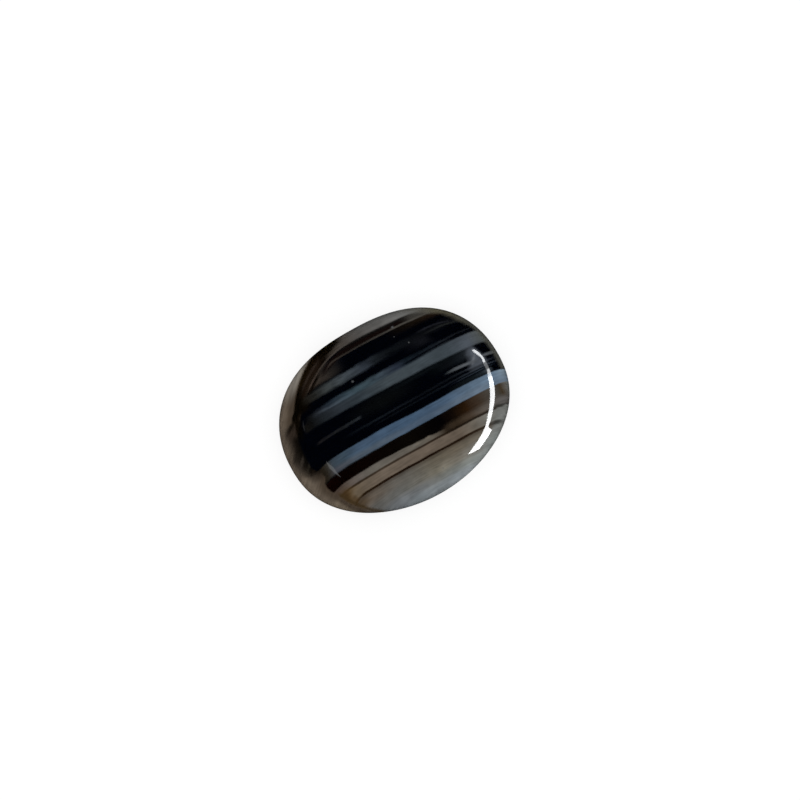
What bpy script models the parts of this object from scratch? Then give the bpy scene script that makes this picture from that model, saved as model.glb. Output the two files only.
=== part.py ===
"""Sulemani agate cabochon: one polished oval stone with a flat back and a smooth dome.

Units are metres, +Z is up, and the origin is the centre of the flat back.
The long side runs along X, and the stone's squarer flank is on its +Y side.
"""

import math

import bmesh
import bpy

# Driving dimensions of the stone
LENGTH = 0.0165
WIDTH = 0.0130
HEIGHT = 0.0050

# Chamfer between the flat back and the girdle, the widest line of the stone
BACK_CHAMFER_IN = 0.0004
GIRDLE_HEIGHT = 0.0005

# Exponents of the oval outline, where 2 is a true ellipse and more is squarer
SQUARE_FLANK = 2.4
ROUND_FLANK = 2.02

# The shallow crown rises this much from the shoulder to the apex
CROWN_RISE = 0.0008

# The shoulder turns from the steep wall into the crown, more tightly as this grows
SHOULDER_TIGHTNESS = 6.0

# Resolution of the mesh
POINTS_AROUND = 72
RINGS_UP = 16

# Look of the bare solid
STONE_COLOUR = (0.055, 0.058, 0.065, 1.0)
STONE_ROUGHNESS = 0.08


def clear_scene():
    for old in list(bpy.data.objects):
        bpy.data.objects.remove(old, do_unlink=True)


def polished_agate():
    material = bpy.data.materials.new("polished_agate")
    material.use_nodes = True
    shader = material.node_tree.nodes["Principled BSDF"]
    shader.inputs["Base Color"].default_value = STONE_COLOUR
    shader.inputs["Roughness"].default_value = STONE_ROUGHNESS
    shader.inputs["Metallic"].default_value = 0.0
    return material


def oval(half_length, half_width, height):
    """Points of one level oval, whose squareness changes smoothly from flank to flank."""
    middle = (SQUARE_FLANK + ROUND_FLANK) / 2
    swing = (SQUARE_FLANK - ROUND_FLANK) / 2
    points = []
    for step in range(POINTS_AROUND):
        turn = 2 * math.pi * step / POINTS_AROUND
        power = middle + swing * math.sin(turn)
        along = abs(math.cos(turn) / half_length) ** power
        across = abs(math.sin(turn) / half_width) ** power
        reach = (along + across) ** (-1 / power)
        points.append((reach * math.cos(turn), reach * math.sin(turn), height))
    return points


def dome_oval(spread):
    """Oval of the dome at a spread from 1 at the girdle to 0 at the apex.

    Near the girdle both half sizes shrink by the same amount, so the shoulder is
    as wide at the ends as at the flanks. At the apex both reach nothing.
    """
    half_width = WIDTH / 2 * spread
    half_length = spread * (WIDTH / 2 + (LENGTH - WIDTH) / 2 * (2 - spread))
    wall = (HEIGHT - GIRDLE_HEIGHT - CROWN_RISE) * math.sqrt(1 - spread**SHOULDER_TIGHTNESS)
    crown = CROWN_RISE * (1 - spread**2)
    return oval(half_length, half_width, GIRDLE_HEIGHT + wall + crown)


def stone_rings():
    """Ovals from the edge of the flat back up to the last one below the apex."""
    back = oval(LENGTH / 2 - BACK_CHAMFER_IN, WIDTH / 2 - BACK_CHAMFER_IN, 0.0)
    rings = [back]
    for step in range(RINGS_UP):
        climb = math.pi / 2 * step / RINGS_UP
        rings.append(dome_oval(math.cos(climb)))
    return rings


def make_stone():
    mesh = bpy.data.meshes.new("agate_cabochon")
    body = bmesh.new()
    rings = [[body.verts.new(point) for point in ring] for ring in stone_rings()]
    apex = body.verts.new((0.0, 0.0, HEIGHT))
    body.faces.new(list(reversed(rings[0])))
    for lower, upper in zip(rings, rings[1:]):
        for step in range(POINTS_AROUND):
            after = (step + 1) % POINTS_AROUND
            body.faces.new((lower[step], lower[after], upper[after], upper[step]))
    for step in range(POINTS_AROUND):
        after = (step + 1) % POINTS_AROUND
        body.faces.new((rings[-1][step], rings[-1][after], apex))
    bmesh.ops.recalc_face_normals(body, faces=body.faces)
    body.to_mesh(mesh)
    body.free()
    mesh.shade_smooth()
    mesh.set_sharp_from_angle(angle=math.radians(35))
    mesh.materials.append(polished_agate())
    stone = bpy.data.objects.new("agate_cabochon", mesh)
    bpy.context.collection.objects.link(stone)
    return stone


clear_scene()
make_stone()
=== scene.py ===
"""Polished sulemani agate cabochon, lying on its flat back and seen from above its dome."""

import math

import bpy
from mathutils import Matrix, Vector


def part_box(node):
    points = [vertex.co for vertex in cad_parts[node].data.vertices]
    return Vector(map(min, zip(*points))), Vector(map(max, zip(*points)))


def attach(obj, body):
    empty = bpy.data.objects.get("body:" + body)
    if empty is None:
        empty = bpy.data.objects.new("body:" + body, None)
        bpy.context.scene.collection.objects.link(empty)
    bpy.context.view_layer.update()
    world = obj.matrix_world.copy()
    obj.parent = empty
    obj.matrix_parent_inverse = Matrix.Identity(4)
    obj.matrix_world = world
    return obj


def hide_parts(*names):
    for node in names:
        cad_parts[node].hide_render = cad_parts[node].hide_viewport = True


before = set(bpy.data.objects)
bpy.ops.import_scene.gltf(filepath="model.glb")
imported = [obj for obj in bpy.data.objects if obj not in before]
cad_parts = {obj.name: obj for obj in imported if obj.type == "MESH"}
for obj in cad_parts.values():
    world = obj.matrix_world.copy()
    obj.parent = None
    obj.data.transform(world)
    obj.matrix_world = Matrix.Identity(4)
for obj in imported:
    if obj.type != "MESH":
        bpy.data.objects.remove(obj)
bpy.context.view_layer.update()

# Camera.
# It looks down on the dome from a few degrees towards the stone's left end, and is turned
# so that the long side rises to the right in the picture.
MM = 0.001
PICTURE_PIXELS = 800
PIXEL_SIZE = 0.0699 * MM
# The middle of the stone's back stands here in the picture, counted in pixels right and down
STONE_PIXEL = (394.9, 412.2)
CAMERA_DISTANCE = 250 * MM
CAMERA_TURN = math.radians(29.4)
CAMERA_TILT = math.radians(3.0)
SENSOR_WIDTH = 36


def make_camera():
    data = bpy.data.cameras.new("camera")
    data.sensor_width = SENSOR_WIDTH
    data.lens = SENSOR_WIDTH * CAMERA_DISTANCE / (PICTURE_PIXELS * PIXEL_SIZE)
    data.clip_start = MM
    camera = bpy.data.objects.new("camera", data)
    bpy.context.collection.objects.link(camera)
    picture_right = Vector((math.cos(CAMERA_TURN), -math.sin(CAMERA_TURN), 0.0))
    picture_up = Vector((math.sin(CAMERA_TURN), math.cos(CAMERA_TURN), 0.0))
    aim = picture_right * (PICTURE_PIXELS / 2 - STONE_PIXEL[0]) * PIXEL_SIZE
    aim += picture_up * (STONE_PIXEL[1] - PICTURE_PIXELS / 2) * PIXEL_SIZE
    back = Vector((-math.tan(CAMERA_TILT), 0.0, 1.0)).normalized()
    side = picture_up.cross(back).normalized()
    upright = back.cross(side)
    camera.matrix_world = Matrix.Translation(aim + back * CAMERA_DISTANCE) @ Matrix(
        (side, upright, back)).transposed().to_4x4()
    bpy.context.scene.camera = camera


make_camera()

# Stone.
# One piece of banded chalcedony, sawn across its bands and ground to an oval with a flat
# back, a steep wall and a shallow dome. The wall and the dome are polished to a glassy
# gloss, and the back is only smoothed.
low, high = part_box("agate_cabochon")
STONE_SIZES = {
    "Length": high[0] - low[0],
    "Width": high[1] - low[1],
    "Height": high[2] - low[2],
    "Back chamfer": 0.4 * MM,
    "Girdle height": 0.5 * MM,
    "Crown rise": 0.8 * MM,
    "Shoulder": 6.0,
    "Square flank": 2.4,
    "Round flank": 2.02,
}
EDGE_ROUNDING = 0.06 * MM
EDGE_STEPS = 3
EDGE_ANGLE = math.radians(30)
POINTS_AROUND = 320
DOME_RINGS = 110
BACK_RINGS = 10
SAME_PLACE = 0.0001 * MM

# Its surface, where the roughness wanders a little and the back keeps fine scratches
AGATE_IOR = 1.54
POLISHED_ROUGHNESS = 0.045
BACK_ROUGHNESS = 0.325
CLOUDY_WEAR = 0.012
FINE_WEAR = 0.006
POLISH_RELIEF = 0.0001 * MM
SCRATCH_RELIEF = 0.0008 * MM

# How its bands lie, in millimetres. They lean on the way down, and droop left of a straight part
HALF_LENGTH = STONE_SIZES["Length"] / MM / 2
HALF_WIDTH = STONE_SIZES["Width"] / MM / 2
STONE_HEIGHT = STONE_SIZES["Height"] / MM
BAND_LEAN = 0.16
LEAN_CHANGE = 0.006
STRAIGHT_LEFT = 5.0
LEFT_DROOP = 0.06
BAND_WAVE = 0.07
BAND_RIPPLE = 0.02
PAST_FLANK = 9.0

# Its ground colour, and how rough the noise of its grain is
BLACK_GROUND = (1, 2, 6)
GRAIN_ROUGHNESS = 0.55


class Flow:
    """A value in a node tree. Python's own signs on it add the nodes that work it out."""

    def __init__(self, tree, socket):
        self.tree = tree
        self.socket = socket

    def math(self, operation, *others):
        node = self.tree.nodes.new("ShaderNodeMath")
        node.operation = operation
        for place, value in enumerate((self, *others)):
            feed(self.tree, node.inputs[place], value)
        return Flow(self.tree, node.outputs[0])

    def __add__(self, other):
        return self.math("ADD", other)

    def __sub__(self, other):
        return self.math("SUBTRACT", other)

    def __rsub__(self, other):
        return self.math("MULTIPLY_ADD", -1.0, other)

    def __mul__(self, other):
        return self.math("MULTIPLY", other)

    def __truediv__(self, other):
        return self.math("DIVIDE", other)

    def __rtruediv__(self, other):
        return self.math("POWER", -1.0) * other

    def __pow__(self, other):
        return self.math("POWER", other)

    def __abs__(self):
        return self.math("ABSOLUTE")

    __radd__ = __add__
    __rmul__ = __mul__


def feed(tree, socket, value):
    """Gives a socket a plain value, or links a flow to it."""
    if isinstance(value, Flow):
        tree.links.new(value.socket, socket)
    else:
        socket.default_value = value


class Bench:
    """A node tree that is being put together."""

    def __init__(self, tree):
        self.tree = tree

    def node(self, kind, settings=None, sockets=None, out=0):
        """Adds a node, with its settings first and then the value or link of each socket."""
        made = self.tree.nodes.new(kind)
        for name, value in (settings or {}).items():
            setattr(made, name, value)
        for place, value in (sockets or {}).items():
            feed(self.tree, made.inputs[place], value)
        return Flow(self.tree, made.outputs[out])

    def parts(self, vector):
        """The X, Y and Z of a vector."""
        split = self.node("ShaderNodeSeparateXYZ", sockets={"Vector": vector}).socket.node
        return [Flow(self.tree, output) for output in split.outputs]

    def point(self, x, y, z):
        return self.node("ShaderNodeCombineXYZ", sockets={"X": x, "Y": y, "Z": z})


def oval_reach(turn, end_reach, side_reach, square_flank, round_flank):
    """How far an oval reaches at a turn, its squareness changing from flank to flank."""
    power = (square_flank + round_flank) / 2 + turn.math("SINE") * ((square_flank - round_flank) / 2)
    along = (abs(turn.math("COSINE")) / end_reach) ** power
    across = (abs(turn.math("SINE")) / side_reach) ** power
    return (along + across) ** (-1.0 / power)


def shape_tree():
    """The nodes that make the closed oval, from two sheets that are rolled up."""
    tree = bpy.data.node_groups.new("cabochon_shape", "GeometryNodeTree")
    for name in STONE_SIZES:
        tree.interface.new_socket(name, in_out="INPUT", socket_type="NodeSocketFloat")
    tree.interface.new_socket("Stone", in_out="INPUT", socket_type="NodeSocketMaterial")
    tree.interface.new_socket("Geometry", in_out="OUTPUT", socket_type="NodeSocketGeometry")
    bench = Bench(tree)
    entry = tree.nodes.new("NodeGroupInput")
    given = {socket.name: Flow(tree, socket) for socket in entry.outputs if socket.name}
    length = given["Length"]
    width = given["Width"]
    chamfer = given["Back chamfer"]
    girdle = given["Girdle height"]
    crown = given["Crown rise"]
    flanks = given["Square flank"], given["Round flank"]
    # Each sheet runs from -0.5 to 0.5 both ways
    column, row, _ = bench.parts(bench.node("GeometryNodeInputPosition"))
    turn = (column + 0.5) * math.tau
    climb = row + 0.5

    def sheet(rings, reach, height):
        """A grid of rings by points, rolled up so that each row becomes one oval."""
        grid = bench.node("GeometryNodeMeshGrid", sockets={
            "Size X": 1.0, "Size Y": 1.0, "Vertices X": POINTS_AROUND + 1, "Vertices Y": rings + 1})
        place = bench.point(reach * turn.math("COSINE"), reach * turn.math("SINE"), height)
        return bench.node("GeometryNodeSetPosition", sockets={"Geometry": grid, "Position": place})

    spread = (climb * (math.pi / 2)).math("COSINE")
    long_half = width / 2 + (length - width) / 2 * (2 - spread)
    dome_reach = spread * oval_reach(turn, long_half, width / 2, *flanks)
    wall_rise = given["Height"] - girdle - crown
    shoulder = (1 - spread ** given["Shoulder"]).math("MAXIMUM", 0.0).math("SQRT")
    dome_height = girdle + wall_rise * shoulder + crown * (1 - spread * spread)
    dome = sheet(DOME_RINGS, dome_reach, dome_height)

    ring = climb * BACK_RINGS
    chamfered = ring.math("MINIMUM", 1.0)
    inward = ((ring - 1) / (BACK_RINGS - 1)).math("MAXIMUM", 0.0)
    inset = chamfer * chamfered
    back_reach = (1 - inward) * oval_reach(turn, length / 2 - inset, width / 2 - inset, *flanks)
    back = sheet(BACK_RINGS, back_reach, girdle * (1 - chamfered))
    back = bench.node("GeometryNodeFlipFaces", sockets={"Mesh": back})

    join = tree.nodes.new("GeometryNodeJoinGeometry")
    tree.links.new(back.socket, join.inputs[0])
    tree.links.new(dome.socket, join.inputs[0])
    closed = bench.node("GeometryNodeMergeByDistance", sockets={
        "Geometry": Flow(tree, join.outputs[0]), "Distance": SAME_PLACE})
    smooth = bench.node("GeometryNodeSetShadeSmooth", sockets={"Geometry": closed})
    real = bench.node("GeometryNodeRealizeInstances", sockets={"Geometry": smooth})
    finished = bench.node("GeometryNodeSetMaterial", sockets={
        "Geometry": real, "Material": given["Stone"]})
    leave = tree.nodes.new("NodeGroupOutput")
    tree.links.new(finished.socket, leave.inputs[0])
    return tree


def grind_stone(material):
    """The ground oval as a plain mesh, with its two edges on the back just taken off."""
    stone = bpy.data.objects.new("banded_stone", bpy.data.meshes.new("banded_stone"))
    bpy.context.collection.objects.link(stone)
    tree = shape_tree()
    shape = stone.modifiers.new("shape", "NODES")
    shape.node_group = tree
    identifiers = {item.name: item.identifier for item in tree.interface.items_tree}
    for name, value in STONE_SIZES.items():
        shape[identifiers[name]] = value
    shape[identifiers["Stone"]] = material
    edges = stone.modifiers.new("edges", "BEVEL")
    edges.limit_method = "ANGLE"
    edges.angle_limit = EDGE_ANGLE
    edges.width = EDGE_ROUNDING
    edges.segments = EDGE_STEPS
    seen = stone.evaluated_get(bpy.context.evaluated_depsgraph_get())
    plain = bpy.data.meshes.new_from_object(seen)
    stone.modifiers.clear()
    stone.data = plain
    return stone


def tint(red, green, blue):
    """A colour as the eye reads it on a screen, from 0 to 255, as the shader's light values."""
    screen = [part / 255 for part in (red, green, blue)]
    light = [part / 12.92 if part <= 0.04045 else ((part + 0.055) / 1.055) ** 2.4 for part in screen]
    return (*light, 1.0)


class Layers(Bench):
    """The stone's colour, laid on band by band. All places are in millimetres."""

    # Where a node that mixes colours has its two colours and its result
    UNDER = 6
    OVER = 7
    MIXED = 2

    def __init__(self, tree, along, across, ground, height=None):
        super().__init__(tree)
        self.along = along
        self.across = across
        self.height = height
        self.colour = tint(*ground)

    def rise(self, value, start, end):
        """0 below start, 1 above end and smooth between them."""
        # A smooth step needs no clamp, which Cycles would add as one more node
        return self.node("ShaderNodeMapRange", {"interpolation_type": "SMOOTHSTEP", "clamp": False},
                         {"Value": value, "From Min": start, "From Max": end})

    def fall(self, value, start, end):
        """1 below start, 0 above end and smooth between them."""
        return 1 - self.rise(value, start, end)

    def within(self, value, least, most, blur):
        """1 from least to most and 0 outside, blurred at both ends."""
        return self.rise(value, least - blur, least + blur) * self.fall(value, most - blur, most + blur)

    def between(self, start, end, fade):
        """1 from start to end along the stone, fading out at each end that is given."""
        share = self.rise(self.along, start - fade, start + fade) if start is not None else 1.0
        if end is not None:
            share = self.fall(self.along, end - fade, end + fade) * share
        return share

    def grain(self, along, across, level, detail=2.0):
        """Noise from -1 to 1 that changes so many times in a millimetre each way, on one level."""
        place = self.point(self.along * along, self.across * across, level)
        return self.node("ShaderNodeTexNoise", sockets={
            "Vector": place, "Scale": 1.0, "Detail": detail, "Roughness": GRAIN_ROUGHNESS}) * 2 - 1

    def look(self, stops):
        """One colour, or a row of places along the stone, each with the colour there."""
        if len(stops) == 1:
            return tint(*stops[0])
        # Cycles takes nodes in the order they were made in, so the ramp's value is made first
        along = (self.along + HALF_LENGTH) / (2 * HALF_LENGTH)
        ramp = self.tree.nodes.new("ShaderNodeValToRGB")
        elements = ramp.color_ramp.elements
        while len(elements) < len(stops):
            elements.new(0.5)
        for element, (place, *colour) in zip(elements, stops):
            element.position = (place + HALF_LENGTH) / (2 * HALF_LENGTH)
            element.color = tint(*colour)
        feed(self.tree, ramp.inputs[0], along)
        return Flow(self.tree, ramp.outputs[0])

    def cover(self, look, share):
        """Lays a colour over the one so far, all of it where share is 1 and none where it is 0."""
        self.colour = self.node("ShaderNodeMix", {"data_type": "RGBA"},
                                {"Factor": share, self.UNDER: self.colour, self.OVER: look},
                                out=self.MIXED)

    def shade(self, light):
        """Makes the colour so far lighter or darker, where a light of 1 leaves it as it is."""
        grey = self.node("ShaderNodeCombineColor", sockets={"Red": light, "Green": light, "Blue": light})
        self.colour = self.node("ShaderNodeMix", {"data_type": "RGBA", "blend_type": "MULTIPLY"},
                                {"Factor": 1.0, self.UNDER: self.colour, self.OVER: grey},
                                out=self.MIXED)

    def band(self, least, most, blur, *stops, start=None, end=None, fade=0.4, share=1.0, across=None):
        """A band from least to most across the stone, and from start to end along it.

        Its stops are its colour, as in look. Where it doesn't follow the other bands, across
        is what least and most are counted on.
        """
        mask = self.within(self.across if across is None else across, least, most, blur)
        self.cover(self.look(stops), mask * self.between(start, end, fade) * share)

    def patch(self, along, across, half_along, half_across, look, share, soft=0.8, drop=0.0):
        """A soft oval patch round a place, which may drop towards the right."""
        side = (self.along - along) / half_along
        rise = (self.across - across + drop * (self.along - along)) / half_across
        away = (side * side + rise * rise).math("SQRT")
        self.cover(tint(*look), self.fall(away, 1 - soft, 1 + soft) * share)


def banded_agate():
    """The stone's colour, gloss and relief, carried right through it."""
    material = bpy.data.materials.new("banded_agate")
    material.use_nodes = True
    tree = material.node_tree
    shader = tree.nodes["Principled BSDF"]
    bench = Bench(tree)
    place = bench.node("ShaderNodeTexCoord", out="Object")
    x, y, z = [part / MM for part in bench.parts(place)]
    # Going down, the bands lean over towards the round flank, more at the left end
    across = y + (BAND_LEAN - LEAN_CHANGE * x) * (STONE_HEIGHT - z)
    bend = (x + STRAIGHT_LEFT).math("MINIMUM", 0.0)
    across = across + LEFT_DROOP * bend * bend
    stone = Layers(tree, x, across, BLACK_GROUND, z)
    across = across + stone.grain(0.3, 0.6, z * 0.2) * BAND_WAVE
    stone.across = across + stone.grain(1.4, 4.0, z) * BAND_RIPPLE
    lay_dark_bands(stone)
    lay_smoky_fan(stone)
    lay_pale_streaks(stone)
    lay_square_flank(stone)
    lay_grey_bands(stone)
    lay_blue_band(stone)
    lay_drooping_lines(stone)
    lay_brown_bands(stone)
    lay_round_flank(stone)
    lay_left_mottles(stone)
    lay_fibres(stone)
    lay_left_edge_reflection(stone, y)
    lay_right_edge_reflection(stone, y)
    lay_specks(stone)
    feed(tree, shader.inputs["Base Color"], stone.colour)
    shader.inputs["IOR"].default_value = AGATE_IOR
    # The wall and the dome are polished to a gloss, and the flat back only smoothed
    flat_back = stone.fall(z, 0.02, 0.10)
    wear = stone.grain(0.5, 0.5, z * 0.5) * CLOUDY_WEAR + stone.grain(6.0, 6.0, z * 6.0) * FINE_WEAR
    rougher = BACK_ROUGHNESS - POLISHED_ROUGHNESS
    feed(tree, shader.inputs["Roughness"], POLISHED_ROUGHNESS + wear + flat_back * rougher)
    scratches = stone.grain(3.0, 40.0, 50.0) * flat_back
    waviness = stone.grain(0.8, 0.8, z * 0.8, detail=1.0)
    relief = stone.node("ShaderNodeBump", sockets={
        "Strength": 1.0, "Distance": POLISH_RELIEF,
        "Height": waviness + scratches * (SCRATCH_RELIEF / POLISH_RELIEF)})
    feed(tree, shader.inputs["Normal"], relief)
    return material


def lay_dark_bands(stone):
    """What is faintly seen in the broad black band in the middle."""
    x = stone.along
    stone.patch(-0.6, 1.15, 2.0, 0.5, (8, 10, 10), 0.8)
    stone.band(0.85, 1.5, 0.2, (3.6, 4, 7, 9), (4.5, 10, 12, 15), (5.2, 17, 21, 25), (5.9, 26, 30, 34),
               start=3.2, end=6.6, fade=0.5)
    stone.patch(2.6, 1.45, 2.6, 0.14, (10, 14, 16), 0.8)
    # Thin lines that grow light towards the right end
    stone.band(0.13, 0.25, 0.07, (-3, 12, 16, 20), (-1.5, 20, 25, 30), (0, 18, 22, 27), (2, 12, 15, 19),
               (4, 15, 18, 22), (5.2, 26, 30, 35), (6.3, 54, 58, 66),
               start=-3.6, end=7.1, fade=1.2)
    stone.band(-0.12, -0.02, 0.05, (-2, 8, 11, 15), (3, 12, 16, 20), (4.6, 20, 24, 29), (6.3, 46, 52, 60),
               start=-1.6, end=7.5, fade=0.6)
    stone.band(-0.27, -0.20, 0.04, (4, 18, 22, 28), (6.3, 40, 47, 55), start=4.2, end=7.1, fade=0.6)
    stone.band(-0.62, -0.36, 0.08, (4, 6, 9, 11), (5.6, 17, 22, 25), (6.4, 30, 36, 42), (6.9, 60, 66, 72),
               start=3.8, end=7.05, fade=0.25)


def lay_smoky_fan(stone):
    """A smoky fan at the right end of the black band, with a lighter streak aslant in it."""
    x = stone.along
    fan = x - 0.3 * stone.across + stone.grain(1.6, 1.6, 17.0) * 0.3
    smoke = 0.95 + 0.5 * stone.grain(2.2, 1.2, fan * 2.0)
    limit = x + 0.2 * stone.across * stone.across
    spread = stone.rise(fan, 5.4, 6.15) * stone.fall(limit, 6.95, 7.25)
    stone.cover(tint(78, 83, 91), spread * stone.within(stone.across, 0.08, 1.42, 0.3) * smoke)
    streak = stone.across - 1.1 * (x - 6.3)
    stone.cover(tint(110, 114, 120), stone.within(streak, 0.56, 0.76, 0.15) * (
        stone.within(x, 6.0, 6.6, 0.15) * stone.within(stone.across, 0.3, 0.9, 0.2)) * 0.8)


def lay_pale_streaks(stone):
    """A pale streak by the left end, and one by the right end in two lengths."""
    x = stone.along
    mottle = 0.8 + 0.7 * stone.grain(2.6, 3.0, 3.0)
    stone.band(0.76, 0.94, 0.06, (-5.4, 22, 21, 22), (-4.4, 28, 29, 31), (-2.8, 38, 42, 46),
               start=-5.9, end=-2.5, fade=0.2, share=mottle)
    streak = stone.across + 0.03 * (x - 4.6) * (x - 4.6)
    taper = 0.09 * stone.rise(x, 3.4, 5.0)
    stone.band(0.58 - taper, 0.58 + taper, 0.08, (4, 44, 49, 52), (5, 80, 84, 88), (6.3, 90, 94, 100),
               start=4.1, end=6.4, fade=0.35, across=streak)
    stone.band(0.52, 0.70, 0.08, (6.9, 76, 80, 86), (7.5, 76, 79, 82), (7.9, 80, 82, 80),
               start=6.8, fade=0.2)


def lay_grey_bands(stone):
    """Three smoky grey-blue bands on the square side of the middle."""
    x = stone.along
    smoky = stone.across + stone.grain(0.9, 2.6, 12.0) * 0.12
    wisps = 0.9 + 0.7 * stone.grain(0.9, 3.2, 15.0)
    stone.band(3.58, 4.16, 0.16, (-5.1, 26, 24, 20), (-4.4, 36, 36, 34), (-3.4, 61, 66, 67),
               (-1.9, 63, 70, 76), (-0.7, 46, 52, 60), (0.3, 26, 30, 34), (1.3, 14, 17, 20),
               (4.2, 8, 9, 12), (5.2, 10, 11, 14), (6.6, 7, 8, 10),
               start=-5.3, end=6.6, fade=0.4, across=smoky, share=wisps)
    top = 2.94 - 0.02 * x.math("MAXIMUM", 0.0)
    top = top + 0.05 * (x + 3).math("MINIMUM", 0.0)
    stone.band(2.33, top, 0.12, (-5.8, 10, 10, 10), (-5.4, 17, 18, 19), (-4.6, 31, 35, 42),
               (-3.6, 39, 49, 59), (-1.8, 54, 69, 77), (-0.7, 58, 72, 80), (0.3, 55, 65, 74),
               (1.3, 41, 48, 60), (2.2, 20, 28, 35), (6, 26, 28, 32),
               start=-5.8, fade=0.3, across=smoky, share=wisps)
    stone.band(2.50, 2.66, 0.11, (-5, 40, 44, 48), (-3.8, 66, 74, 83), (-2, 60, 74, 83),
               start=-5.0, end=-1.8, fade=0.6, across=smoky)
    foot = 1.75 - 0.027 * x - 0.05 * stone.rise(x, 3.5, 4.6)
    stone.band(foot, 2.46, 0.11, (-6.2, 18, 17, 15), (-5.6, 13, 13, 13), (-4.6, 29, 33, 37),
               (-3.6, 39, 44, 50), (-1.7, 50, 58, 64), (0.3, 61, 69, 74), (5, 60, 68, 74),
               (6.6, 74, 80, 88), (7.8, 82, 86, 84), start=-6.2, fade=0.2)
    # A thin dark line between the last two, broader at the right end
    stone.band(2.58, 2.69, 0.05, (4, 5, 10), start=1.9, fade=0.6)
    stone.band(2.50, 2.74, 0.05, (2, 3, 7), start=5.4, fade=0.6)


def lay_blue_band(stone):
    """The bright blue band, which drops a little towards the right end, and its paler lower side."""
    x = stone.along
    top = -0.55 - 0.12 * stone.rise(x, -1.5, 0.8)
    top = top - 0.03 * (x - 5.5).math("MAXIMUM", 0.0)
    foot = -1.52 - 0.07 * stone.rise(x, -3.5, -1.0)
    foot = foot - 0.07 * stone.rise(x, 3.0, 4.5)
    stone.band(foot, top, 0.06, (-6.6, 28, 23, 16), (-6.3, 36, 32, 26), (-6.0, 50, 49, 46),
               (-5.7, 52, 61, 69), (-4.6, 56, 71, 84), (-3.6, 62, 79, 98), (0, 63, 83, 105),
               (3.2, 68, 87, 108), (5.2, 86, 104, 122), (7, 100, 119, 138), (8, 126, 142, 154))
    stone.band(foot, -1.20, 0.18, (-6.4, 36, 31, 24), (-6.0, 56, 54, 54), (-5.7, 70, 70, 76),
               (-4.6, 76, 80, 87), (-3.6, 82, 92, 102), (-1.7, 75, 85, 95), (0, 72, 86, 102),
               (1.7, 68, 82, 98), (5.2, 98, 112, 127), share=0.8)


def lay_square_flank(stone):
    """The grey lens on the square flank, whose layers bend down at the left end."""
    x = stone.along
    # Two ways across that bend down at the left end, the lens soon and gently, the hook sharply
    bend = (x + 0.7).math("MINIMUM", 0.0)
    lens = stone.across + 0.10 * bend * bend + 0.055 * x.math("MAXIMUM", 0.0)
    bend = (x + 2.0).math("MINIMUM", 0.0)
    hook = stone.across + 0.4 * bend * bend
    # Smoky ground between the light seams
    smoke = 0.9 + 0.6 * stone.grain(0.8, 2.0, 21.0)
    stone.band(4.36, 5.5, 0.16, (-5.1, 24, 18, 12), (-4.6, 38, 31, 24), (-3.7, 50, 44, 39),
               (-2.7, 34, 31, 29), (-1.7, 13, 14, 16), end=-1.9, fade=0.6, share=smoke)
    stone.band(4.75, 5.3, 0.28, (3.4, 14, 10, 7), (4.4, 22, 16, 10), (5.2, 32, 23, 16),
               start=2.4, fade=0.9)
    stone.band(5.36, 5.8, 0.12, (15, 8, 7), start=-3.2, end=4.2, fade=0.6, across=lens)
    stone.band(5.72, 6.1, 0.12, (-1, 16, 12, 11), (0.3, 14, 12, 11), (2.2, 18, 16, 15),
               start=-1.4, end=3.6, fade=0.5, across=lens, share=0.8)
    stone.band(5.4, 6.1, 0.12, (3.2, 34, 32, 29), (4.4, 62, 60, 56), start=3.5, fade=0.5, across=lens)
    stone.band(5.97, PAST_FLANK, 0.11, (-4, 34, 28, 22), (-2.4, 44, 38, 33), (-1.7, 58, 52, 46),
               (-0.7, 74, 69, 65), (0.5, 84, 82, 80), (2.2, 100, 99, 97), (3.5, 104, 104, 102),
               across=lens)
    stone.band(6.36, 6.95, 0.10, (8, 5, 2), start=-3.7, end=-1.6, fade=0.45, across=lens)
    stone.band(6.08, 6.40, 0.08, (8, 5, 2), start=-3.8, end=-2.4, fade=0.4, across=lens)
    stone.band(6.50, PAST_FLANK, 0.16, (12, 8, 4), start=-3.0, end=-1.0, fade=0.4, across=lens, share=0.9)
    # Brown layers that bend down
    stone.band(6.15, PAST_FLANK, 0.10, (27, 19, 13), end=-3.0, fade=0.5, across=lens)
    stone.band(6.48, 6.66, 0.10, (44, 36, 30), end=-3.2, fade=0.4, across=lens)
    stone.band(6.78, 7.22, 0.12, (-4, 20, 13, 5), (-2, 14, 9, 2), end=-1.3, fade=0.4, across=lens)
    stone.band(7.35, PAST_FLANK, 0.12, (62, 54, 46), end=-3.3, fade=0.4, across=lens)
    stone.band(5.66, 5.90, 0.08, (13, 8, 5), start=-5.0, end=-3.5, fade=0.3, across=lens)
    stone.band(5.94, 6.07, 0.05, (-4.4, 60, 50, 44), (-3, 52, 45, 40), (-1, 70, 65, 61),
               start=-4.6, end=-0.8, fade=0.4, across=lens)
    # Dark ground by the left end
    stone.band(3.25, 4.3, 0.25, (8, 5, 2), end=-5.1, fade=0.35)
    # Thin light seam, which drops to the right
    seam = hook + 0.03 * x.math("MAXIMUM", 0.0)
    stone.band(5.28, 5.42, 0.06, (-3, 46, 40, 36), (-2, 44, 39, 35), (0, 42, 39, 36), (1.5, 52, 49, 46),
               (3, 74, 71, 66), (4.6, 68, 65, 60), start=-2.9, end=5.3, fade=0.3, across=seam)


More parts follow.
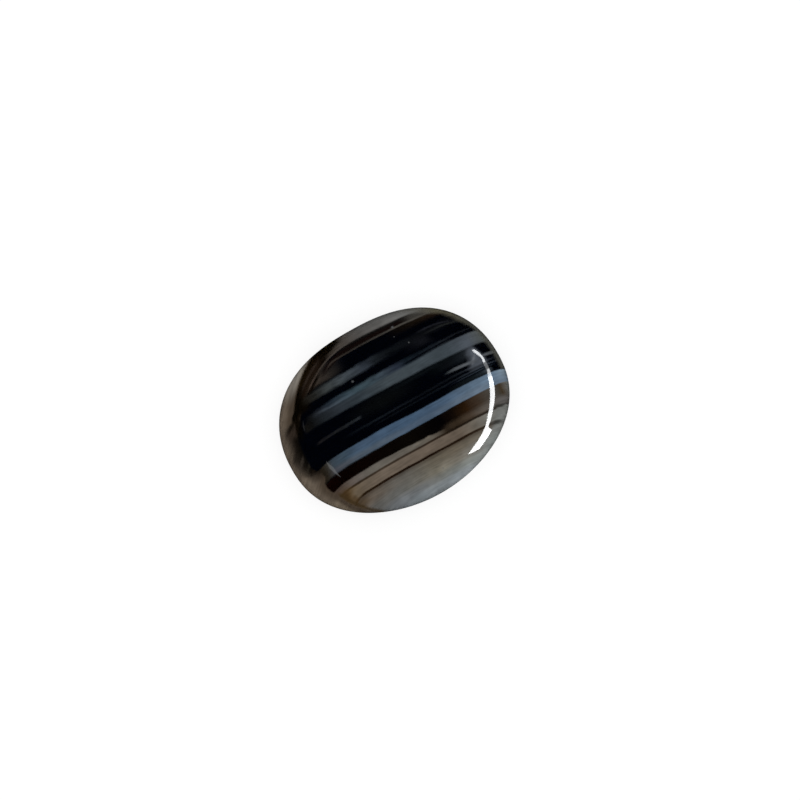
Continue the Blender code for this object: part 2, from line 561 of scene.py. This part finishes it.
def lay_drooping_lines(stone):
    """Faint fine lines that droop to the right over the dark, and a smoky wedge beside them."""
    x = stone.along
    wave = stone.grain(1.0, 2.0, 23.0) * 0.04
    droop = stone.across + 0.06 * (x - 4.0) * (x - 4.0) + wave
    stone.band(4.10, 4.20, 0.07, (30, 31, 36), start=4.0, end=6.3, fade=0.5, across=droop, share=0.8)
    droop = stone.across + 0.025 * (x - 4.0) * (x - 4.0) + wave
    stone.band(3.76, 3.88, 0.07, (5, 30, 32, 33), (6.5, 36, 38, 36), start=4.4, end=6.7, fade=0.5,
               across=droop, share=0.8)
    slope = x + 0.9 * stone.across
    stone.cover(tint(19, 20, 24), stone.within(stone.across, 3.15, 3.8, 0.25) * stone.rise(
        x, 2.2, 3.8) * stone.fall(slope, 7.0, 7.7) * 0.8)


def lay_brown_bands(stone):
    """The brown band under the blue one, and two taupe bands with a thin dark seam between them."""
    x = stone.along
    drop = (x + 2.5).math("MAXIMUM", 0.0)
    top = -2.35 - 0.058 * drop
    # The brown band, which turns grey towards the right end
    stone.band(-2.9, -1.60, 0.05, (-6.5, 10, 2, 1), (-5.3, 7, 2, 1), (-4, 8, 3, 2), (0, 8, 6, 4),
               (2.2, 3, 2, 3), (3.2, 15, 9, 5), (4.2, 36, 22, 10), (5.2, 57, 46, 37), (6.3, 70, 67, 62),
               (6.7, 64, 60, 54), (7.05, 60, 50, 36), (7.45, 90, 88, 84), (7.8, 108, 112, 110))
    # The upper taupe band, softer at the right end
    stone.band(-2.9, top, 0.06, (-6, 74, 62, 54), (-4.6, 94, 87, 82), (-3.6, 96, 92, 85),
               (-2, 94, 89, 82), (0.3, 92, 87, 79), (1.2, 86, 80, 72), (2.2, 46, 38, 30),
               end=2.3, fade=0.3)
    stone.band(-2.9, -2.45, 0.22, (2, 46, 38, 30), (3.2, 52, 42, 31), (4.2, 66, 55, 45),
               (5.2, 88, 81, 74), (6.8, 96, 93, 91), start=2.3, fade=0.6)
    # The lower taupe band, and the seam above it, which drops to the right
    seam = stone.across + 0.014 * x
    stone.band(-3.85, -2.90, 0.05, (-6, 84, 68, 48), (-4.6, 97, 86, 73), (-3, 101, 90, 79),
               (3, 99, 88, 77), (4.2, 102, 96, 87), (6, 116, 117, 113), (7, 124, 125, 121),
               across=seam)
    stone.band(-2.98, -2.84, 0.05, (-5.6, 46, 34, 20), (-4.6, 42, 33, 24), (-3, 54, 44, 35),
               (0, 46, 36, 28), (1.5, 40, 30, 22), (3, 26, 19, 12), (5, 42, 34, 27),
               end=6.1, fade=0.2, across=seam)
    stone.patch(6.32, -2.93, 0.36, 0.11, (50, 49, 45), 0.9, soft=0.6, drop=0.25)
    # Two small pale flecks in the upper taupe band
    stone.patch(0.0, -2.60, 0.26, 0.08, (118, 111, 100), 0.5)
    stone.patch(0.9, -2.56, 0.22, 0.07, (120, 112, 100), 0.5)


def lay_round_flank(stone):
    """The broad pale band that fills the round flank and turns bluer and lighter down its side, the
    lighter part partly painted light.
    """
    bend = (stone.along + 4.7).math("MINIMUM", 0.0)
    seam = stone.across + 0.010 * stone.along + 0.2 * bend * bend
    stone.band(-PAST_FLANK, -3.72, 0.05, (-5, 90, 80, 70), (-3.6, 91, 84, 76), (-2.6, 95, 91, 85),
               (-1.6, 92, 89, 83), (0.3, 93, 87, 76), (2.2, 96, 88, 76), (4, 100, 94, 84))
    stone.band(-PAST_FLANK, -4.45, 0.3, (-4, 92, 91, 88), (-2.6, 99, 99, 96), (-0.7, 106, 103, 95),
               (0.3, 113, 108, 96), (2.2, 117, 112, 102), (4, 122, 122, 118), (6, 136, 137, 134))
    stone.band(-PAST_FLANK, -5.0, 0.25, (-4, 100, 103, 105), (-2.6, 110, 114, 117), (-0.8, 101, 103, 103),
               (0.3, 110, 111, 107), (2.2, 124, 128, 124), (4, 140, 145, 143))
    stone.band(-PAST_FLANK, -5.42, 0.2, (-3, 108, 111, 116), (-1.7, 124, 131, 135), (-0.5, 122, 128, 131),
               (0.5, 126, 132, 135), (1.3, 142, 149, 153), (2.2, 152, 159, 163), (4.5, 160, 166, 166))
    # Painted light: the steep wall outside the right shoulder is made a cooler and lighter grey
    lit_wall = stone.fall(stone.height + stone.grain(0.8, 0.8, 30.0) * 0.2, 3.2, 3.8)
    lit_wall = lit_wall * stone.rise(stone.along, 3.6, 5.4)
    stone.cover(tint(122, 124, 121), lit_wall * stone.fall(stone.across, -3.5, -3.0))
    stone.cover(tint(142, 149, 147), lit_wall * stone.fall(stone.across, -4.9, -4.0))
    # The lower dark seam, with a softer shade under it
    stone.band(-3.95, -3.66, 0.12, (48, 38, 28), end=5.4, fade=0.3, share=0.45, across=seam)
    stone.band(-3.78, -3.63, 0.05, (-5.4, 48, 33, 15), (-4.6, 32, 20, 9), (-3, 28, 15, 6), (0, 22, 11, 4),
               (3.5, 34, 22, 12), (5, 52, 43, 33), end=5.6, fade=0.25, across=seam)
    stone.patch(5.66, -3.80, 0.42, 0.13, (48, 48, 45), 0.9, soft=0.6, drop=0.06)
    stone.patch(5.30, -3.74, 0.20, 0.07, (72, 70, 66), 0.8, soft=0.7)


def lay_left_mottles(stone):
    """Honey and ochre mottles by the left end."""
    stone.patch(-5.85, -3.25, 0.55, 0.50, (78, 60, 36), 0.8)
    stone.patch(-5.9, -3.05, 0.22, 0.30, (60, 44, 26), 0.7)
    stone.patch(-5.2, -3.35, 0.30, 0.26, (104, 92, 76), 0.8)
    stone.patch(-5.45, -3.55, 0.14, 0.22, (74, 56, 34), 0.6)
    stone.patch(-5.2, -4.05, 0.50, 0.22, (66, 52, 34), 0.7)


def lay_fibres(stone):
    """Fine streaks along the bands and soft clouds, a little lighter and darker."""
    streaks = stone.grain(0.35, 8.0, 0.0, detail=3.0)
    hairs = stone.grain(1.2, 30.0, 2.0)
    clouds = stone.grain(0.9, 1.6, 4.0)
    stone.shade(1 + streaks * 0.34 + hairs * 0.16 + clouds * 0.42)


def left_reflection_colours(stone, y, away):
    """The colours of the painted reflection in the thin left edge, warm and pale, with the bands that run
    aslant in it.
    """
    x = stone.along
    slant = y - 1.05 * (x + 7.0) + stone.grain(0.9, 0.9, 2.0) * 0.15
    inner = Layers(stone.tree, x, slant, (68, 58, 48))
    inner.cover(tint(104, 93, 81), inner.rise(away, 7.55, 8.3))
    inner.cover(tint(140, 134, 125), inner.rise(y, 3.8, 5.6) * inner.rise(away, 7.3, 7.65))
    inner.cover(tint(124, 112, 96), inner.fall(y, -3.6, -3.1) * inner.rise(away, 7.6, 7.9) * 0.6)
    inner.cover(tint(40, 33, 27), inner.within(y, -1.6, -0.8, 0.3) * inner.fall(away, 8.1, 8.5) * 0.6)
    # The painted reflection dims to near black beside the black bands, with streaks that carry on from
    # them
    dim_reflection = inner.within(y, -1.1, 2.65, 0.3)
    inner.cover(tint(10, 8, 6), dim_reflection * inner.fall(away, 7.43, 8.8))
    inner.cover(tint(12, 11, 9), inner.within(y, -0.4, 0.6, 0.35) * inner.fall(away, 7.9, 8.7) * 0.6)
    inner.cover(tint(46, 38, 32), inner.within(y, 1.85, 2.55, 0.3) * inner.fall(away, 7.8, 8.3) * 0.85)
    near = dim_reflection * inner.fall(away, 8.1, 8.5)
    inner.cover(tint(14, 12, 9), inner.within(inner.across, 1.05, 1.55, 0.22) * near * 0.6)
    inner.cover(tint(60, 54, 48), inner.within(inner.across, 0.45, 0.70, 0.12) * (
        near * inner.rise(away, 7.45, 7.7) * 0.5))
    inner.cover(tint(54, 50, 42), inner.within(inner.across, -0.30, -0.05, 0.12) * near * 0.3)
    share = inner.within(inner.across, -0.80, -0.52, 0.12) * inner.fall(away, 7.9, 8.2)
    inner.cover(tint(22, 17, 12), share * 0.75)
    spur = inner.within(y - 0.6 * (x + 7.0), 2.42, 2.68, 0.12)
    inner.cover(tint(12, 8, 4), spur * inner.fall(away, 7.65, 8.25) * 0.9)
    inner.shade(1 + inner.grain(0.8, 3.5, 5.0) * 0.5)
    return inner.colour


def lay_left_edge_reflection(stone, y):
    """The left end's thin edge, with a painted reflection of the pale surroundings over its bands."""
    x = stone.along
    # The edge follows a circle round this place, and is broader and narrower by turns
    side = x - 0.33
    rise = y - 0.05
    away = (side * side + rise * rise).math("SQRT") + stone.grain(0.6, 0.6, 7.0) * 0.06
    away = away + (y - 3.3).math("MAXIMUM", 0.0) * 0.12
    away = away + stone.within(y, -1.75, -0.85, 0.25) * 0.33
    away = away - stone.within(y, 2.75, 3.25, 0.2) * 0.15
    away = away - stone.within(y, -2.7, -2.1, 0.2) * 0.08
    colours = left_reflection_colours(stone, y, away)
    # Dark lines along the inner side of the edge, by the square flank and by the round one
    left = stone.fall(x, -3.5, -2.0)
    dark = stone.within(away, 6.95, 7.42, 0.15) * stone.within(y, 1.6, 4.6, 0.4)
    stone.cover(tint(6, 4, 1), dark * left * 0.85)
    dark = stone.within(away, 7.16, 7.40, 0.10) * stone.fall(y, -3.2, -2.7)
    stone.cover(tint(58, 45, 27), dark * left * 0.8)
    # Painted reflection of the pale surroundings, laid over the bands of the steep left wall
    stone.cover(colours, stone.rise(away, 7.32, 7.50) * left)


def lay_right_edge_reflection(stone, y):
    """The thin edge of the right end and the square flank, painted grey with a reflection of the pale
    floor.
    """
    x = stone.along
    right = stone.rise(x, -1.0, 1.5) * stone.rise(stone.across, -0.9, -0.5)
    # It stays near the outline, so the middle of the back keeps its bands
    end = x / HALF_LENGTH
    flank = y / HALF_WIDTH
    outward = end * end + flank * flank
    right = right * stone.rise(outward, 0.5, 0.78)
    # It reaches further up the wall where it crosses some of the bands
    upper = 0.0
    for least, most in ((4.7, 5.4), (3.0, 4.6), (-0.9, 1.6)):
        upper = upper + stone.within(stone.across, least, most, 0.3) * 0.2
    height = stone.height + stone.grain(0.5, 1.0, 9.0) * 0.35
    height = height + stone.grain(1.0, 5.0, 11.0) * 0.15 - upper
    look = stone.look(((0, 84, 83, 81), (3, 98, 98, 96), (4.5, 98, 97, 92), (5.7, 90, 86, 72),
                       (6.6, 86, 83, 70), (7.6, 80, 80, 74)))
    # The bands still show faintly through it low on the wall
    veil = 0.45 + 0.55 * stone.rise(stone.height, 0.6, 2.1)
    # Painted reflection of the pale floor in the steep wall, laid over the bands
    stone.cover(look, stone.fall(height, 2.0, 2.95) * right * veil)


def lay_specks(stone):
    """A few tiny pale grains."""
    for along, across, size in ((-1.73, 3.33, 0.07), (2.96, 3.78, 0.05), (2.28, 4.64, 0.03),
                                (2.53, 5.38, 0.08), (-0.2, -2.6, 0.05), (0.8, -4.8, 0.05)):
        stone.patch(along, across, size, size, (96, 98, 100), 0.6)


stone = grind_stone(banded_agate())
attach(stone, "root")
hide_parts("agate_cabochon")

# Floor.
# A plain pale sheet that the stone lies on, which glows so that it stays even all over.
# It isn't part of the object, and the polish doesn't show it.
FLOOR_HALF = 2.0
FLOOR_GREY = 0.25
FLOOR_ROUGHNESS = 0.9
FLOOR_GLOW = 0.78
WHITE = (1.0, 1.0, 1.0, 1.0)


def lay_floor():
    mesh = bpy.data.meshes.new("floor")
    corners = [(-FLOOR_HALF, -FLOOR_HALF, 0), (FLOOR_HALF, -FLOOR_HALF, 0),
               (FLOOR_HALF, FLOOR_HALF, 0), (-FLOOR_HALF, FLOOR_HALF, 0)]
    mesh.from_pydata(corners, [], [(0, 1, 2, 3)])
    floor = bpy.data.objects.new("floor", mesh)
    bpy.context.collection.objects.link(floor)
    material = bpy.data.materials.new("pale_sheet")
    material.use_nodes = True
    shader = material.node_tree.nodes["Principled BSDF"]
    shader.inputs["Base Color"].default_value = (FLOOR_GREY, FLOOR_GREY, FLOOR_GREY, 1.0)
    shader.inputs["Roughness"].default_value = FLOOR_ROUGHNESS
    shader.inputs["Specular IOR Level"].default_value = 0.0
    shader.inputs["Emission Color"].default_value = WHITE
    shader.inputs["Emission Strength"].default_value = FLOOR_GLOW
    mesh.materials.append(material)
    floor.visible_glossy = False
    return floor


lay_floor()

# Light.
# Even soft light from all round, and lit panes that only the polish shows: bright ones on the
# right, which shine on the shoulder, and two faint ones on the left.
ROOM_BRIGHTNESS = 1.05
WINDOW_DISTANCE = 400 * MM
WINDOW_COLOUR = (0.97, 0.985, 1.0, 1.0)
BLACK = (0.0, 0.0, 0.0, 1.0)


def light_room():
    world = bpy.data.worlds.new("soft_room")
    world.use_nodes = True
    light = world.node_tree.nodes["Background"]
    light.inputs["Color"].default_value = WHITE
    light.inputs["Strength"].default_value = ROOM_BRIGHTNESS
    # The polish shows only the panes
    world.cycles_visibility.glossy = False
    bpy.context.scene.world = world


def window(name, brightness, *corners):
    """A lit pane. Each corner is a turn round the stone and a rise above its back, in degrees."""
    places = []
    for turn, rise in corners:
        turn = math.radians(turn)
        rise = math.radians(rise)
        away = Vector((math.cos(turn) * math.cos(rise), math.sin(turn) * math.cos(rise), math.sin(rise)))
        places.append(away * WINDOW_DISTANCE)
    mesh = bpy.data.meshes.new(name)
    mesh.from_pydata(places, [], [tuple(range(len(places)))])
    pane = bpy.data.objects.new(name, mesh)
    bpy.context.collection.objects.link(pane)
    material = bpy.data.materials.new(name)
    material.use_nodes = True
    shader = material.node_tree.nodes["Principled BSDF"]
    shader.inputs["Base Color"].default_value = BLACK
    shader.inputs["Specular IOR Level"].default_value = 0.0
    shader.inputs["Emission Color"].default_value = WINDOW_COLOUR
    shader.inputs["Emission Strength"].default_value = brightness
    mesh.materials.append(material)
    pane.visible_camera = False
    pane.visible_diffuse = False
    pane.visible_shadow = False


light_room()
# The main one reaches below the level of the floor, which the polish doesn't show
window("window_main", 17.5,
       (-11, 6.5), (-11, 20.5), (-15, 22.5), (-20, 22.5), (-27, 22), (-35, 20.5), (-42, 17.5),
       (-46, 15.5), (-50, 11.5), (-53, 8), (-57, 5), (-61, 3), (-66, 1), (-70, -2.5), (-69, -8),
       (-67, -15), (-65, -23), (-53.5, -23), (-53.5, -8), (-52.5, -2.5), (-49, -1), (-45, 2), (-40, 4.5),
       (-35, 5), (-27, 5.5), (-20, 6))
window("window_end", 10.5, (-5, 6.5), (-5, 14.5), (-7.5, 18), (-11, 20.5), (-11, 6.5))
window("window_gap", 2.5, (-0.2, 5), (-0.2, 17), (-5, 17), (-5, 6))
window("window_side", 14,
       (-0.2, 7), (-0.2, 15.5), (1.6, 13.5), (3.3, 13.5), (5, 17), (7, 20.5), (9, 23), (11, 23),
       (11, 19.5), (10, 16), (8, 11.5), (5, 8), (3, 6.5), (1.6, 6))
window("window_left", 1.25, (187.7, 50), (199, 52.5), (214.1, 43.5), (197.5, 45.5))
window("window_far_left", 0.25, (158, 31), (152, 30), (146, 25.5), (152, 25))

bpy.context.scene.view_settings.view_transform = "Standard"
